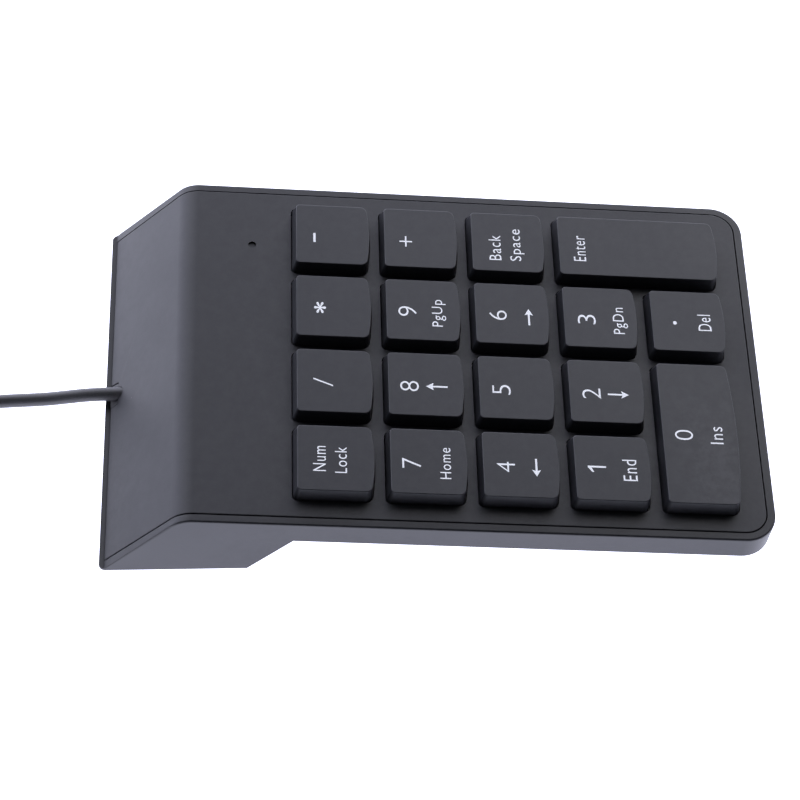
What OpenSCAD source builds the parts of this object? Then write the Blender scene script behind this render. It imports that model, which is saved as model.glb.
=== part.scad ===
/* [Case] */
// Width of the base across its rim
base_w = 85.9; // [84.5:0.1:92]
// Length of the key plate from the key-grid centre to the front of the rim
front_reach = 53.6; // [52.5:0.1:60]
// Distance from the key-grid centre to the crease where the plate turns down to the rear
crease_y = 68.6; // [66:0.1:74]
// Steepness of the rear face below the plate, in degrees
rear_slope = 54.2; // [50:0.1:58]
// Tilt of the key plate to the table, in degrees
tilt = 5.4; // [4:0.1:6]
// Thickness of the thin front slab
slab_t = 6.25; // [6:0.05:8]
// Width of the rim that frames the top cover
rim_w = 1.75; // [1.5:0.05:2.2]
// Radius of the front corners in plan
corner_r = 6.8; // [5:0.1:8]
// Thickness of the top cover
cover_t = 1.2; // [1:0.1:1.3]

/* [Keys] */
// Spacing of the keys
pitch = 19; // [19:0.05:19.2]
// Height of the key tops above the plate
key_h = 2.85; // [2.5:0.05:3.5]
// Width of a single key where it leaves the plate
key_w = 17; // [16.6:0.1:17.2]
// Travel of a key
travel = 2.5; // [2:0.1:2.5]
// How far the front edge of a single key bows out
bow = 0.77; // [0.5:0.01:1]

/* [Lead] */
// Diameter of the lead
cord_d = 2.9; // [2.5:0.1:3]
// Turns of the coil across its bundle
coil_columns = 3; // [3:1:3]
// Turns of the coil on top of each other
coil_layers = 4; // [4:1:4]

/* [Hidden] */
$fn = 48;
far = 150;

// Key grid: [column, row, columns wide, rows high], rows counted from the rear
KEY_CELLS = concat(
    [for (row = [0:3], column = [0:2]) [column, row, 1, 1]],
    [for (row = [0:2]) [3, row, 1, 1]],
    [[3, 3, 1, 2], [0, 4, 2, 1], [2, 4, 1, 1]]
);
ENTER_CELL = [3, 3, 1, 2];
ZERO_CELL = [0, 4, 2, 1];
key_rear = 7.95;
key_front = 8.75;
key_corner_r = 1.7;
key_wall = 1;
skirt_z = -1.85;
tab_t = 0.6;
tab_reach = 9.2;
opening_gap = 0.2;
lean_side = 0.72;
lean_rear = 0.72;
lean_front = 0.2;
stem_z = -1.3;
stem_r = 2.2;

// Underside: slab, step and hump, as heights in the plate's frame
step_front_y = 45.4;
step_rear_y = 54.1;
hump_z = -17.7;
rear_lip_y = 84.2;
rear_lip_z = hump_z - (rear_lip_y - step_rear_y) * tan(tilt);
lip_top_z = -19.5;
rim_drop = 0.25;
floor_t = 1.1;
ledge_w = 0.8;
seam = 0.14;
crease_r = 5.5;
rear_foot_t = 0.8;

// The plate's frame stands on the table with its origin over the middle of the footprint
lift = rear_foot_t - step_rear_y * sin(tilt) - hump_z * cos(tilt);
rear_end = rear_lip_y * cos(tilt) - rear_lip_z * sin(tilt);
front_end = -front_reach * cos(tilt) + rim_drop * sin(tilt);
mid_y = (rear_end + front_end) / 2;

// Film stack and rubber sheet on the slab's floor
slab_floor_z = floor_t - slab_t;
film_t = 0.1;
sheet_t = 0.45;
sheet_z = slab_floor_z + 3 * film_t;
film_front = -47.4;
film_rear = 47.4;
film_half_w = 38.6;
dome_r = 4.25;
dome_top_r = 2.3;
dome_wall = 0.45;
contact_gap = 0.05;

// Fasteners
boss_r = 1.75;
pad_r = 3;
pad_z = -4.5;
SHORT_SCREWS = [[-36, -49.3], [36, -49.3], [-19, 9.5], [19, 9.5]];
LONG_SCREWS = [[-36, 59], [36, 59]];
STANDOFFS = [[-19, 28.5], [0, 28.5], [19, 28.5], [0, 9.5], [-19, -9.5], [0, -9.5], [19, -9.5], [0, -28.5]];
long_boss_z = -8;
long_seat_z = -11;

// Circuit board
board_t = 1.2;
board_z = slab_floor_z;
board_x0 = -16;
board_x1 = 30.5;
board_y0 = 48.5;
board_y1 = 64.5;
BOARD_SCREWS = [[-11.8, 52], [15.8, 52], [8, 62]];
led_pos = [27, 54.5];
led_hole_r = 0.85;

// Stabilizer bars: arm length, wire radius, half span and pivot offset from the key's centre
arm = 7;
wire_r = 0.5;
span = 11.5;
pivot_off = 5.5;
pivot_z = -2.5;
post_off = 7;
rest_lift = travel / 2;
arm_run = sqrt(arm * arm - rest_lift * rest_lift);

// Lead: points along its two free stretches, in the frame of the table
hole_pos = [-0.8, 67, 3];
LEAD_OUT = [
    [-0.8, 57, 3], [-0.8, 61, 3], [-0.8, 65, 3], [-0.8, 69, 3], [-0.8, 73, 2.8], [-0.8, 76, 2.4],
    [-0.8, 79, 1.9], [-0.9, 82, 1.6], [-1, 85, 1.5], [-1.2, 90, 1.5], [-1.5, 96, 1.5],
    [-1.6, 102, 1.5], [-1.6, 108, 1.5], [-1.6, 114, 1.5], [-1.6, 120, 1.5]
];
LEAD_END = [
    [-12, 101, 10.2], [-8, 100.8, 9.4], [-4, 100.7, 8.2], [0, 100.7, 6.9], [4, 100.9, 5.5],
    [8, 101.6, 4.4], [12, 103.2, 3.8], [15, 105.5, 3.8], [17.2, 108.5, 3.9], [18.4, 112, 4],
    [19, 115.5, 4], [19, 119, 4]
];
coil_centre = [-21.9, 121];
coil_mid_r = 17.4;
tie_angle = 150;
plug_pos = [19, 117, 4];

function cell_x(cell) = (cell[0] + (cell[2] - 1) / 2 - 1.5) * pitch;
function cell_y(cell) = (2 - cell[1] - (cell[3] - 1) / 2) * pitch;
function unit(v) = v / norm(v);
function heading(path, i) = unit(path[min(i + 1, len(path) - 1)] - path[max(i - 1, 0)]);
function ring(centre, along, side, r, sides) = let (u = unit(cross(side, along)), v = cross(along, u))
    [for (k = [0:sides - 1]) centre + r * (cos(360 * k / sides) * u + sin(360 * k / sides) * v)];

module on_table() translate([0, -mid_y, lift]) rotate([tilt, 0, 0]) children();

module along_x(w) rotate([90, 0, 90]) translate([0, 0, -w / 2]) linear_extrude(w) children();

module along_y(w) translate([0, w / 2, 0]) rotate([90, 0, 0]) linear_extrude(w) children();

module slab(z0, z1) translate([0, 0, z0]) linear_extrude(z1 - z0) children();

// A round tube along a path; side is any direction that the path never points in
module tube(path, r, sides, side) {
    last = (len(path) - 1) * sides;
    polyhedron(
        points = [for (i = [0:len(path) - 1]) each ring(path[i], heading(path, i), side, r, sides)],
        faces = concat(
            [[for (k = [0:sides - 1]) k]],
            [[for (k = [sides - 1:-1:0]) last + k]],
            [for (i = [0:len(path) - 2], k = [0:sides - 1])
                let (a = i * sides + k, b = i * sides + (k + 1) % sides)
                [a, a + sides, b + sides, b]]
        )
    );
}

// ---- Keys ----

module key_outline(cell, inset = 0) {
    half = key_w / 2 + (cell[2] - 1) * pitch / 2;
    reach = (cell[3] - 1) * pitch / 2;
    sag = bow * (cell[2] > 1 ? 1.35 : 1);
    bow_r = half * half / (2 * sag);
    offset(r = key_corner_r) offset(delta = -key_corner_r - inset) intersection() {
        translate([-half, -key_front - reach]) square([2 * half, key_front + key_rear + 2 * reach]);
        translate([0, bow_r - key_front - reach]) circle(r = bow_r, $fn = 240);
    }
}

// The cap's tapered form between two heights, drawn in by inset
module key_form(cell, inset, z0, z1) {
    half = key_w / 2 + (cell[2] - 1) * pitch / 2 - inset;
    reach = (cell[3] - 1) * pitch / 2 - inset;
    intersection() {
        slab(z0, z1) key_outline(cell, inset);
        along_y(far) polygon([
            [-half, z0], [-half, 0], [-half + lean_side, key_h],
            [half - lean_side, key_h], [half, 0], [half, z0]
        ]);
        along_x(far) polygon([
            [-key_front - reach, z0], [-key_front - reach, 0], [-key_front - reach + lean_front, key_h],
            [key_rear + reach - lean_rear, key_h], [key_rear + reach, 0], [key_rear + reach, z0]
        ]);
    }
}

module keycap(column, row, columns = 1, rows = 1) {
    cell = [column, row, columns, rows];
    ceiling = key_h - 1.1;
    wide = (columns - 1) * pitch / 2;
    deep = (rows - 1) * pitch / 2;
    on_table() translate([cell_x(cell), cell_y(cell), 0]) color("#2c2d33") union() {
        difference() {
            key_form(cell, 0, skirt_z, key_h);
            key_form(cell, key_wall, skirt_z - 1, ceiling);
        }
        for (s = [-1, 1], y = rows > 1 ? [-deep, deep] : [0])
            translate([s * (tab_reach - 1 + wide), y, skirt_z + tab_t / 2]) cube([2, 8, tab_t], center = true);
        translate([0, 0, stem_z]) cylinder(h = ceiling + 0.3 - stem_z, r = stem_r);
        for (a = [0, 90]) rotate([0, 0, a])
            translate([0, 0, ceiling - 0.6]) cube([key_w - 2 * key_wall - 1, 0.8, 1.4], center = true);
        if (rows > 1) rotate([0, 0, 90]) stabilizer_clips();
        if (columns > 1) stabilizer_clips();
    }
}

// Two hooks under a wide cap that take the ends of its stabilizer bar
module stabilizer_clips() for (s = [-1, 1]) translate([s * (span - 1.4), pivot_off - arm_run, 0]) difference() {
    clip_h = key_h - 1.1 - skirt_z + 0.2;
    translate([0, 0, skirt_z + clip_h / 2]) cube([1.4, 2.6, clip_h], center = true);
    translate([0, 0, pivot_z + rest_lift - 0.5]) cube([3, 2 * wire_r + 0.3, 2.2], center = true);
}

module key_num_lock() keycap(0, 0);
module key_divide() keycap(1, 0);
module key_multiply() keycap(2, 0);
module key_minus() keycap(3, 0);
module key_7() keycap(0, 1);
module key_8() keycap(1, 1);
module key_9() keycap(2, 1);
module key_plus() keycap(3, 1);
module key_4() keycap(0, 2);
module key_5() keycap(1, 2);
module key_6() keycap(2, 2);
module key_backspace() keycap(3, 2);
module key_1() keycap(0, 3);
module key_2() keycap(1, 3);
module key_3() keycap(2, 3);
module key_enter() keycap(3, 3, 1, 2);
module key_0() keycap(0, 4, 2, 1);
module key_decimal() keycap(2, 4);

// ---- Case ----

// Side view of everything deeper than depth below the plate and the rear face
module below_skin(depth) offset(delta = -depth) offset(r = crease_r) offset(delta = -crease_r) polygon([
    [-far, 0], [crease_y, 0],
    [crease_y + far * cos(rear_slope), -far * sin(rear_slope)], [-far, -far]
]);

// Side view of everything higher than height above the slab's and the hump's underside
module above_floor(height) offset(delta = -height) polygon([
    [-far, -slab_t], [step_front_y, -slab_t], [step_rear_y, hump_z],
    [far, hump_z - (far - step_rear_y) * tan(tilt)], [far, far], [-far, far]
]);

module plan(inset) offset(delta = -inset) offset(r = corner_r) offset(delta = -corner_r)
    translate([-base_w / 2, -front_reach]) square([base_w, front_reach + far]);

module base_shell() on_table() color("#3b3c42") difference() {
    union() {
        difference() {
            intersection() {
                along_x(base_w + 10) offset(delta = 0) {
                    intersection() { below_skin(rim_drop); above_floor(0); }
                    rear_lip();
                }
                slab(-far, far) plan(0);
            }
            intersection() {
                along_x(far) difference() { below_skin(-1); below_skin(cover_t); }
                slab(lip_top_z, far) plan(rim_w);
            }
            intersection() {
                along_x(far) intersection() { below_skin(cover_t - 0.01); above_floor(floor_t); }
                slab(lip_top_z - 1, far) plan(rim_w + ledge_w);
            }
        }
        for (p = SHORT_SCREWS) translate([p[0], p[1], slab_floor_z - 0.3]) cylinder(h = pad_z - slab_floor_z + 0.3, r = pad_r);
        for (p = LONG_SCREWS) intersection() {
            translate([p[0], p[1], -far]) cylinder(h = far + long_boss_z, r = 3.2);
            along_x(far) above_floor(0.3);
        }
        for (p = BOARD_SCREWS) intersection() {
            translate([p[0], p[1], -far]) cylinder(h = far + board_z - board_t, r = 2.2);
            along_x(far) above_floor(0.3);
        }
        bar_posts(ENTER_CELL, 90);
        bar_posts(ZERO_CELL, 0);
        cord_tab();
        intersection() {
            translate([hole_pos[0], 76.6, -17.5]) cube([9, 1.2, 4], center = true);
            along_x(far) above_floor(0.3);
        }
    }
    for (p = SHORT_SCREWS) translate([p[0], p[1], -far]) {
        cylinder(h = far + pad_z + 1, r = 1.15);
        cylinder(h = far - slab_t + 1, r = 1.9);
    }
    for (p = LONG_SCREWS) translate([p[0], p[1], -far]) {
        cylinder(h = far, r = 1.25);
        cylinder(h = far + long_seat_z, r = 2.3);
    }
    for (p = BOARD_SCREWS) translate([p[0], p[1], board_z - board_t - 4.5]) cylinder(h = 5, r = 0.7);
    cord_channel();
}

// The strip along the bottom of the rear face, proud of the cover
module rear_lip() polygon([
    [80.6, lip_top_z], [83.3, lip_top_z], [rear_lip_y, lip_top_z - 0.6],
    [rear_lip_y, rear_lip_z], [80.6, hump_z - (80.6 - step_rear_y) * tan(tilt)]
]);

// A short tongue that closes the cover's notch below the lead
module cord_tab() intersection() {
    along_x(far) difference() {
        below_skin(0.1);
        below_skin(cover_t);
    }
    translate([hole_pos[0], 80, 0]) along_y(12) polygon([
        [-2.9, lip_top_z - 0.3], [-2.6, -17.9], [2.6, -17.9], [2.9, lip_top_z - 0.3]
    ]);
}

// The round way for the lead through the rear edge, level with the table
module cord_channel() rotate([-tilt, 0, 0]) translate([0, mid_y, -lift])
    translate([hole_pos[0], 52, hole_pos[2]]) rotate([-90, 0, 0]) cylinder(h = 30, r = cord_d / 2 + 0.12);

// Posts on the base that hold a stabilizer bar's pivot
module bar_posts(cell, turn) for (s = [-1, 1])
    translate([cell_x(cell), cell_y(cell), 0]) rotate([0, 0, turn])
        translate([s * post_off, pivot_off, 0]) difference() {
            translate([0, 0, (slab_floor_z + pivot_z + 0.3) / 2])
                cube([2, 2.4, pivot_z + 0.3 - slab_floor_z + 0.2], center = true);
            translate([0, 0, pivot_z]) rotate([0, 90, 0]) cylinder(h = 4, r = wire_r + 0.06, center = true);
            translate([0, 0, pivot_z + 1]) cube([4, 2 * wire_r, 2], center = true);
        }

module top_cover() on_table() color("#34353b") difference() {
    union() {
        intersection() {
            along_x(far) difference() { below_skin(0); below_skin(cover_t); }
            slab(lip_top_z + seam, far) plan(rim_w + seam);
        }
        for (p = SHORT_SCREWS) slab_post(p, pad_z, boss_r);
        for (p = LONG_SCREWS) slab_post(p, long_boss_z, 2.8);
        for (p = STANDOFFS) slab_post(p, sheet_z + sheet_t + contact_gap, 1.5);
    }
    for (cell = KEY_CELLS) translate([cell_x(cell), cell_y(cell)]) slab(-3, 2) key_outline(cell, -opening_gap);
    translate([led_pos[0], led_pos[1], -3]) cylinder(h = 6, r = led_hole_r);
    for (p = SHORT_SCREWS) translate([p[0], p[1], pad_z - 1]) cylinder(h = 4, r = 0.8);
    for (p = LONG_SCREWS) translate([p[0], p[1], long_boss_z - 1]) cylinder(h = 6.5, r = 1);
    cord_channel();
    translate([hole_pos[0], 80, 0]) along_y(12) polygon([
        [-3.05, lip_top_z - 1], [-2.72, -17.8], [2.72, -17.8], [3.05, lip_top_z - 1]
    ]);
}

module slab_post(p, z0, r) translate([p[0], p[1], z0]) cylinder(h = 0.3 - cover_t - z0, r = r);

// ---- Switch layers ----

module film_plan() difference() {
    union() {
        translate([-film_half_w, film_front]) square([2 * film_half_w, film_rear - film_front]);
        translate([-8, film_rear - 1]) square([20, 7.5]);
    }
    for (p = SHORT_SCREWS) translate(p) circle(r = pad_r + 0.4);
    for (s = [-1, 1]) {
        translate([cell_x(ENTER_CELL) - pivot_off, cell_y(ENTER_CELL) + s * post_off]) square([3, 2.8], center = true);
        translate([cell_x(ZERO_CELL) + s * post_off, cell_y(ZERO_CELL) + pivot_off]) square([2.8, 3], center = true);
    }
}

module film(level) slab(slab_floor_z + level * film_t, slab_floor_z + (level + 1) * film_t) difference() {
    film_plan();
    if (level == 1) for (cell = KEY_CELLS) translate([cell_x(cell), cell_y(cell)]) circle(r = 2.4);
}

module membrane_lower() on_table() color("#b9c4c6") film(0);
module membrane_spacer() on_table() color("#d5dada") film(1);
module membrane_upper() on_table() color("#c2cdcf") film(2);

module dome_sheet() on_table() color("#d8d8d2") difference() {
    union() {
        slab(sheet_z, sheet_z + sheet_t) intersection() {
            film_plan();
            translate([-film_half_w, film_front]) square([2 * film_half_w, film_rear - film_front]);
        }
        for (cell = KEY_CELLS) translate([cell_x(cell), cell_y(cell), sheet_z + sheet_t - 0.1])
            cylinder(h = stem_z - contact_gap - sheet_z - sheet_t + 0.1, r1 = dome_r, r2 = dome_top_r);
    }
    for (cell = KEY_CELLS) translate([cell_x(cell), cell_y(cell), sheet_z - 0.1]) difference() {
        cylinder(
            h = stem_z - contact_gap - sheet_z - dome_wall + 0.1,
            r1 = dome_r - dome_wall, r2 = dome_top_r - dome_wall
        );
        translate([0, 0, 2.4]) cylinder(h = 3, r = 1.2);
    }
}

// ---- Stabilizer bars ----

// A wire bent to a U, in the frame of its key, with its pivot length along x
module stabilizer_bar(cell, turn) translate([cell_x(cell), cell_y(cell), 0]) rotate([0, 0, turn]) {
    b = 0.8;
    pivot = [0, pivot_off, pivot_z];
    out = [0, -arm_run, rest_lift];
    lean = unit(out);
    tube([
        [-span + 2.4, 0, 0] + pivot + out, [-span + b, 0, 0] + pivot + out,
        [-span + 0.2, 0, 0] + pivot + out - 0.2 * lean, [-span, 0, 0] + pivot + out - b * lean,
        [-span, 0, 0] + pivot + b * lean, [-span + 0.2, 0, 0] + pivot + 0.2 * lean,
        [-span + b, 0, 0] + pivot, [span - b, 0, 0] + pivot,
        [span - 0.2, 0, 0] + pivot + 0.2 * lean, [span, 0, 0] + pivot + b * lean,
        [span, 0, 0] + pivot + out - b * lean, [span - 0.2, 0, 0] + pivot + out - 0.2 * lean,
        [span - b, 0, 0] + pivot + out, [span - 2.4, 0, 0] + pivot + out
    ], wire_r, 12, cross([1, 0, 0], lean));
}

module stabilizer_enter() on_table() color("silver") stabilizer_bar(ENTER_CELL, 90);
module stabilizer_zero() on_table() color("silver") stabilizer_bar(ZERO_CELL, 0);

// ---- Electronics ----

module circuit_board() on_table() color("#1f6b3a") difference() {
    translate([board_x0, board_y0, board_z - board_t]) cube([board_x1 - board_x0, board_y1 - board_y0, board_t]);
    for (p = BOARD_SCREWS) translate([p[0], p[1], board_z - 2]) cylinder(h = 3, r = 1.15);
}

module controller_chip() on_table() color("#17171a") translate([-10, 59.6, board_z]) intersection() {
    translate([0, 0, -6.2]) sphere(r = 7.4);
    cylinder(h = 3, r = 3.9);
}

module board_parts() on_table() color("#8a7a5c") for (i = [0:5])
    translate([13 + 2.6 * i, i < 3 ? 57.4 : 59.4, board_z]) slab(0, 0.55) square([1.6, 0.8]);

module status_led() on_table() color("#e8f0e0") translate([led_pos[0], led_pos[1], board_z]) {
    cylinder(h = 0.8, r = 1.9);
    translate([0, 0, 0.7]) cylinder(h = 1.4, r = 1.5);
    translate([0, 0, 2.05]) sphere(r = 1.48);
}

module clamp_foam() on_table() color("#4a4a4a")
    translate([-8.5, 50.4, sheet_z]) cube([21, 3.2, 0.9]);

module clamp_bar() on_table() color("#9a9ca0") difference() {
    union() {
        translate([-14, 50, sheet_z + 0.9]) cube([32, 4, 1.3]);
        for (i = [0, 1]) translate([BOARD_SCREWS[i][0], BOARD_SCREWS[i][1], board_z])
            cylinder(h = 1.4, r = 1.95);
    }
    for (i = [0, 1]) translate([BOARD_SCREWS[i][0], BOARD_SCREWS[i][1], board_z - 1]) cylinder(h = 5, r = 1.15);
}

module screw(seat, length, r, head_r, head_h) translate(seat) {
    translate([0, 0, -length]) cylinder(h = length + 0.1, r = r);
    difference() {
        cylinder(h = head_h, r = head_r);
        translate([0, 0, head_h]) for (a = [0, 90]) rotate([0, 0, a]) cube([1.9 * r, 0.5, 1], center = true);
    }
}

module board_screws() on_table() color("#b8babd") {
    for (i = [0, 1]) screw([BOARD_SCREWS[i][0], BOARD_SCREWS[i][1], sheet_z + 2.2], 6, 0.7, 1.6, 0.9);
    screw([BOARD_SCREWS[2][0], BOARD_SCREWS[2][1], board_z], 4.2, 0.7, 1.6, 0.9);
}

module board_connector() on_table() color("#e6e2d4") difference() {
    translate([-4.6, 60, board_z]) cube([9.2, 4.4, 3.2]);
    translate([-3.9, 61, board_z + 0.4]) cube([7.8, 4, 2.4]);
}

module wire_plug() on_table() color("#f0ece0") translate([-3.8, 61.1, board_z + 0.5]) cube([7.6, 5.5, 2.2]);

// Four thin wires from the plug on the board down to the lead's sleeve
module inner_wires() on_table() color("#b03030") for (i = [0:3]) {
    x0 = 2 * i - 3;
    x1 = hole_pos[0] + 0.9 * (i - 1.5);
    tube([
        [x0, 66.6, -3.55], [x0, 68, -3.9], [x0, 69.2, -5.6], [(x0 + x1) / 2, 69.4, -8],
        [x1, 68.9, -11], [x1, 68.4, -14], [x1, 68.6, -15.8], [x1, 69.5, -16.9], [x1, 70.8, -17.1]
    ], 0.4, 8, [1, 0, 0]);
}

// Moulded sleeve that grips the end of the lead inside the case
module cable_anchor() color("#26272b") translate([hole_pos[0], 0, rear_foot_t + floor_t]) difference() {
    translate([-3.5, 56, 0]) cube([7, 4.6, 4.6]);
    translate([0, 57, hole_pos[2] - rear_foot_t - floor_t]) rotate([-90, 0, 0]) cylinder(h = 6, r = cord_d / 2);
}

module case_screws() on_table() color("#55575b") {
    for (p = SHORT_SCREWS) translate([p[0], p[1], 1 - slab_t]) mirror([0, 0, 1]) screw([0, 0, 0], 3.4, 0.8, 1.7, 0.9);
    for (p = LONG_SCREWS) translate([p[0], p[1], long_seat_z]) mirror([0, 0, 1]) screw([0, 0, 0], 8, 1, 2.1, 1.3);
}

// ---- Feet and label ----

module foot_plan() hull() for (s = [-1, 1]) translate([5.5 * s, 0]) circle(r = 2.5);

module front_feet() color("#1c1c1e") for (s = [-1, 1]) difference() {
    on_table() translate([29 * s, -43, -12]) slab(0, 12 - slab_t) foot_plan();
    translate([-far, -far, -20]) cube([2 * far, 2 * far, 20]);
}

module rear_feet() color("#1c1c1e") for (s = [-1, 1])
    translate([29 * s, 54, 0]) slab(0, rear_foot_t) foot_plan();

module rating_label() on_table() color("#c9c9c6")
    translate([-19, -14, -slab_t - 0.12]) cube([38, 20, 0.12]);

// ---- Lead and plug, in the frame of the table ----

module usb_cord() color("#2a2a2c") {
    tube(LEAD_OUT, cord_d / 2, 8, [0, 0, 1]);
    tube(LEAD_END, cord_d / 2, 8, [0, 0, 1]);
}

module bundle() translate([coil_mid_r, 0]) offset(r = 1.2) offset(delta = -1.2)
    translate([-coil_columns * cord_d / 2, 0]) square([coil_columns * cord_d, coil_layers * cord_d]);

// The coil, drawn in where the tie holds it
module cord_coil() color("#2a2a2c") translate([coil_centre[0], coil_centre[1], 0]) rotate([0, 0, tie_angle]) {
    rotate([0, 0, 14]) rotate_extrude(angle = 332, $fn = 96) bundle();
    rotate([0, 0, -20]) rotate_extrude(angle = 40, $fn = 96) offset(delta = -0.7) bundle();
}

module cord_tie() color("#1f1f21") translate([coil_centre[0], coil_centre[1], 0]) rotate([0, 0, tie_angle])
    translate([coil_mid_r, 0, coil_layers * cord_d / 2]) difference() {
        cube([coil_columns * cord_d + 1, 5, coil_layers * cord_d], center = true);
        cube([coil_columns * cord_d - 0.4, 6, coil_layers * cord_d - 1.2], center = true);
    }

module plug_grip() color("#232326") translate(plug_pos) {
    rotate([-90, 0, 0]) cylinder(h = 8, r1 = 2.1, r2 = 2.9);
    translate([0, 19, 0]) along_y(23) offset(r = 2) square([11, 3.9], center = true);
}

module plug_shell() color("silver") translate(plug_pos + [0, 30.5, 0]) difference() {
    translate([0, 6, 0]) cube([12, 12, 4.5], center = true);
    translate([0, 7, 0]) cube([11.4, 12.2, 3.9], center = true);
    for (s = [-1, 1]) translate([3.1 * s, 6.5, 0]) cube([2.2, 2, 8], center = true);
}

module plug_tongue() color("#f2f2ee") translate(plug_pos + [0, 30.5, 0])
    translate([0, 6.3, 1]) cube([11.2, 10.8, 1.7], center = true);

module plug_contacts() color("gold") translate(plug_pos + [0, 30.5, 0])
    for (x = [-3.5, -1, 1, 3.5]) translate([x, 7.2, 0.05]) cube([1.1, 8.4, 0.2], center = true);

key_num_lock();
key_divide();
key_multiply();
key_minus();
key_7();
key_8();
key_9();
key_plus();
key_4();
key_5();
key_6();
key_backspace();
key_1();
key_2();
key_3();
key_enter();
key_0();
key_decimal();
top_cover();
base_shell();
dome_sheet();
membrane_upper();
membrane_spacer();
membrane_lower();
stabilizer_enter();
stabilizer_zero();
circuit_board();
controller_chip();
board_parts();
status_led();
clamp_bar();
clamp_foam();
board_screws();
board_connector();
wire_plug();
inner_wires();
cable_anchor();
case_screws();
front_feet();
rear_feet();
rating_label();
usb_cord();
cord_coil();
cord_tie();
plug_grip();
plug_shell();
plug_tongue();
plug_contacts();
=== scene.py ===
"""Numeric keypad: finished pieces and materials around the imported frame.

Every piece is modelled in millimetres in the frame of the key plate (origin over the middle of the
key grid, Z square to the plate) and then set down on the table, unless its function says otherwise.
"""
import math
import bpy
from mathutils import Euler, Matrix, Vector


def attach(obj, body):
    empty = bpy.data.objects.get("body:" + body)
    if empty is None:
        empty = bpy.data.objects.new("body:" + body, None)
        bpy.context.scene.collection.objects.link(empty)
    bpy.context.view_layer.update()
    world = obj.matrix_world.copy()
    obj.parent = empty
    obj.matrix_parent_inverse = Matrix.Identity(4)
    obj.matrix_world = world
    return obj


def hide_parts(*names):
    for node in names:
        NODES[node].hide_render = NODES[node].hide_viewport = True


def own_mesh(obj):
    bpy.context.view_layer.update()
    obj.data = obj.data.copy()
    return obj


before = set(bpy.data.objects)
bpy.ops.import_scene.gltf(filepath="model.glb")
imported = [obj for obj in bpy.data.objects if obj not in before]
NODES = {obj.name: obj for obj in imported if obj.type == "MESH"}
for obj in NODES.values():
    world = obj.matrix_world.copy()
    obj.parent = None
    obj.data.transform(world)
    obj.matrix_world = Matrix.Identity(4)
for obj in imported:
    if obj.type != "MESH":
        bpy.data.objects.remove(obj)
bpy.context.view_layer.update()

MM = 0.001

# The plate's place over the table. The underside of the rear hump is level with the table
TILT = math.radians(5.4)
REAR_SLOPE = math.radians(53.2)
HUMP_Z = -17.7
STEP_Y = 54.1
LIP_Y = 84.2
FRONT_Y = 53.6
FRONT_TOP = -0.25
FOOT_GAP = 0.8
LIP_Z = HUMP_Z - (LIP_Y - STEP_Y) * math.tan(TILT)
LIFT = FOOT_GAP - STEP_Y * math.sin(TILT) - HUMP_Z * math.cos(TILT)
REAR_END = LIP_Y * math.cos(TILT) - LIP_Z * math.sin(TILT)
FRONT_END = -FRONT_Y * math.cos(TILT) - FRONT_TOP * math.sin(TILT)
MID_Y = (REAR_END + FRONT_END) / 2
PLATE = Matrix.Translation((0, -MID_Y * MM, LIFT * MM)) @ Euler((TILT, 0, 0)).to_matrix().to_4x4()

# Case
HALF_W = 42.95
CREASE_Y = 68.6
CREASE_R = 5.5
CREASE_ARC = (CREASE_Y - CREASE_R * math.tan(REAR_SLOPE / 2), -CREASE_R)
RIM_W = 1.75
RIM_DROP = 0.08
RIM_ROUND = 0.42
SEAM = 0.22
COVER_T = 1.2
WALL_T = 2.55
FLOOR_T = 1.1
CORNER_R = 6.8
LIP_CORNER_R = 1.3
LIP_TOP = -19.9
LIP_END_Y = 84.4
STEP_FOOT_Y = 45.4
SLAB_Z = -6.25
SLAB_FLOOR = -5.15
PAD_Z = -4.5
LONG_BOSS_Z = -8
SHORT_SCREWS = [(-36, -49.3), (36, -49.3), (-19, 9.5), (19, 9.5)]
LONG_SCREWS = [(-36, 59), (36, 59)]
BOARD_SCREWS = [(-11.8, 52), (15.8, 52), (8, 62)]
STANDOFFS = [(-19, 28.5), (0, 28.5), (19, 28.5), (0, 9.5), (-19, -9.5), (0, -9.5), (19, -9.5), (0, -28.5)]
BAR_SEATS = [(23, -35.5), (23, -21.5), (-26, -32.5), (-12, -32.5)]
LED_SPOT = (27, 54.5)

# How far a tool or an outline reaches, to end well past the case
PAST_FRONT = -60
PAST_SIDE = 60
PAST_REAR = 95
PAST_LIP = 86
PAST_BELOW = -25

# Keys by rows from the rear, each from the left, and the double ones with their columns and rows
KEY_ROWS = [
    ["num_lock", "divide", "multiply", "minus"],
    ["7", "8", "9", "plus"],
    ["4", "5", "6", "backspace"],
    ["1", "2", "3", "enter"],
    ["0", None, "decimal"],
]
DOUBLE = {"enter": (1, 2), "0": (2, 1)}
KEYS = [
    (name, column, row, *DOUBLE.get(name, (1, 1)))
    for row, names in enumerate(KEY_ROWS) for column, name in enumerate(names) if name
]
PITCH = 19
KEY_H = 2.85
KEY_HALF = 8.5
KEY_REAR = 7.95
KEY_FRONT = 8.75
KEY_BOW = 0.77
SKIRT_Z = -1.85
CEILING = 1.75
CAP_SIZES = ((1, 1), (1, 2), (2, 1))
SHEET_Z = -4.85
SHEET_T = 0.45
SHEET_HALF = (38.6, 47.4)
STEM_Z = -1.3


# ---- Camera ----

def add_camera():
    """A long lens that looks down on the keypad from its left, with the rear on the left of the view."""
    data = bpy.data.cameras.new("camera")
    data.lens = 119.11
    data.sensor_width = 36
    data.clip_start = 0.01
    camera = bpy.data.objects.new("camera", data)
    camera.location = (-0.31813, 0.021618, 0.47189)
    camera.rotation_euler = [math.radians(a) for a in (33.897, -0.81, -91.479)]
    bpy.context.scene.collection.objects.link(camera)
    bpy.context.scene.camera = camera


# ---- Lead ----

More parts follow.
